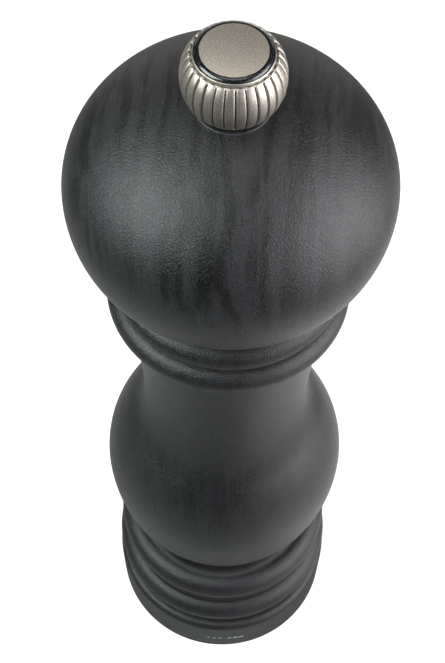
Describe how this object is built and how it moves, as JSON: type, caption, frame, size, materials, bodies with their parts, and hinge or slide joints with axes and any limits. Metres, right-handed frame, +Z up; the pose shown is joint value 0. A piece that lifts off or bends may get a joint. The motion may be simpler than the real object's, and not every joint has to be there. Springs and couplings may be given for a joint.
{
  "type": "pepper mill",
  "caption": "Turned wooden pepper mill with a ball head, a ringed body, a grind-setting ring at the base and a fluted metal knob.",
  "frame": {"origin": "centre of the base, on the surface that the mill stands on", "axes": "+Z up along the spindle; -Y is the front, which carries the middle of the setting marks"},
  "size_m": [0.0594, 0.0594, 0.22],
  "materials": {
    "graphite_wood": "matt graphite stain over beech, grain showing",
    "satin_nickel": "satin",
    "silver_disc": "satin",
    "black_lacquer": "gloss",
    "steel": "zinc plated",
    "hardened_steel": "dark, oiled",
    "brass": "plain",
    "black_plastic": "moulded",
    "grey_plastic": "moulded"
  },
  "bodies": {
    "body": {"body_shell": "graphite_wood", "mechanism_cage": "black_plastic", "cage_screw_1": "steel", "cage_screw_2": "steel", "cage_screw_3": "steel", "click_spring": "steel", "bottom_bridge": "steel", "bridge_screw_1": "steel", "bridge_screw_2": "steel", "bridge_screw_3": "steel", "carrier_spring": "steel"},
    "grind_ring": {"grind_band": "graphite_wood", "cam_ring": "grey_plastic"},
    "carrier": {"burr_carrier": "grey_plastic", "outer_burr": "hardened_steel"},
    "spindle": {"spindle_shaft": "steel", "inner_burr": "hardened_steel", "thrust_washer": "brass", "push_washer": "steel", "retaining_clip": "steel"},
    "head": {"head_shell": "graphite_wood", "drive_plate": "steel", "plate_screw_1": "steel", "plate_screw_2": "steel", "head_ferrule": "steel"},
    "nut": {"knob_nut": "brass"},
    "knob": {"knob_shell": "satin_nickel", "knob_trim_ring": "black_lacquer", "knob_disc": "silver_disc"}
  },
  "joints": [
    {"name": "ring_turn", "type": "hinge", "parent": "body", "child": "grind_ring", "pos_m": [0, 0, 0.0086], "axis": [0, 0, 1], "range_deg": [0, 90]},
    {"name": "carrier_lift", "type": "slide", "parent": "body", "child": "carrier", "axis": [0, 0, 1], "range_m": [0, 0.0012], "deforming": ["carrier_spring"]},
    {"name": "spindle_spin", "type": "hinge", "parent": "body", "child": "spindle", "pos_m": [0, 0, 0.0047], "axis": [0, 0, 1], "continuous": true},
    {"name": "head_lift", "type": "slide", "parent": "spindle", "child": "head", "axis": [0, 0, 1], "range_m": [0, 0.075]},
    {"name": "knob_rise", "type": "slide", "parent": "head", "child": "nut", "axis": [0, 0, 1], "range_m": [0, 0.0072]},
    {"name": "knob_turn", "type": "hinge", "parent": "nut", "child": "knob", "pos_m": [0, 0, 0.2089], "axis": [0, 0, 1], "range_deg": [0, 3240]}
  ],
  "couplings": [
    {"joint": "carrier_lift", "follows": "ring_turn", "m_per_rad": 0.00076394},
    {"joint": "knob_rise", "follows": "knob_turn", "m_per_rad": 0.00012732}
  ]
}
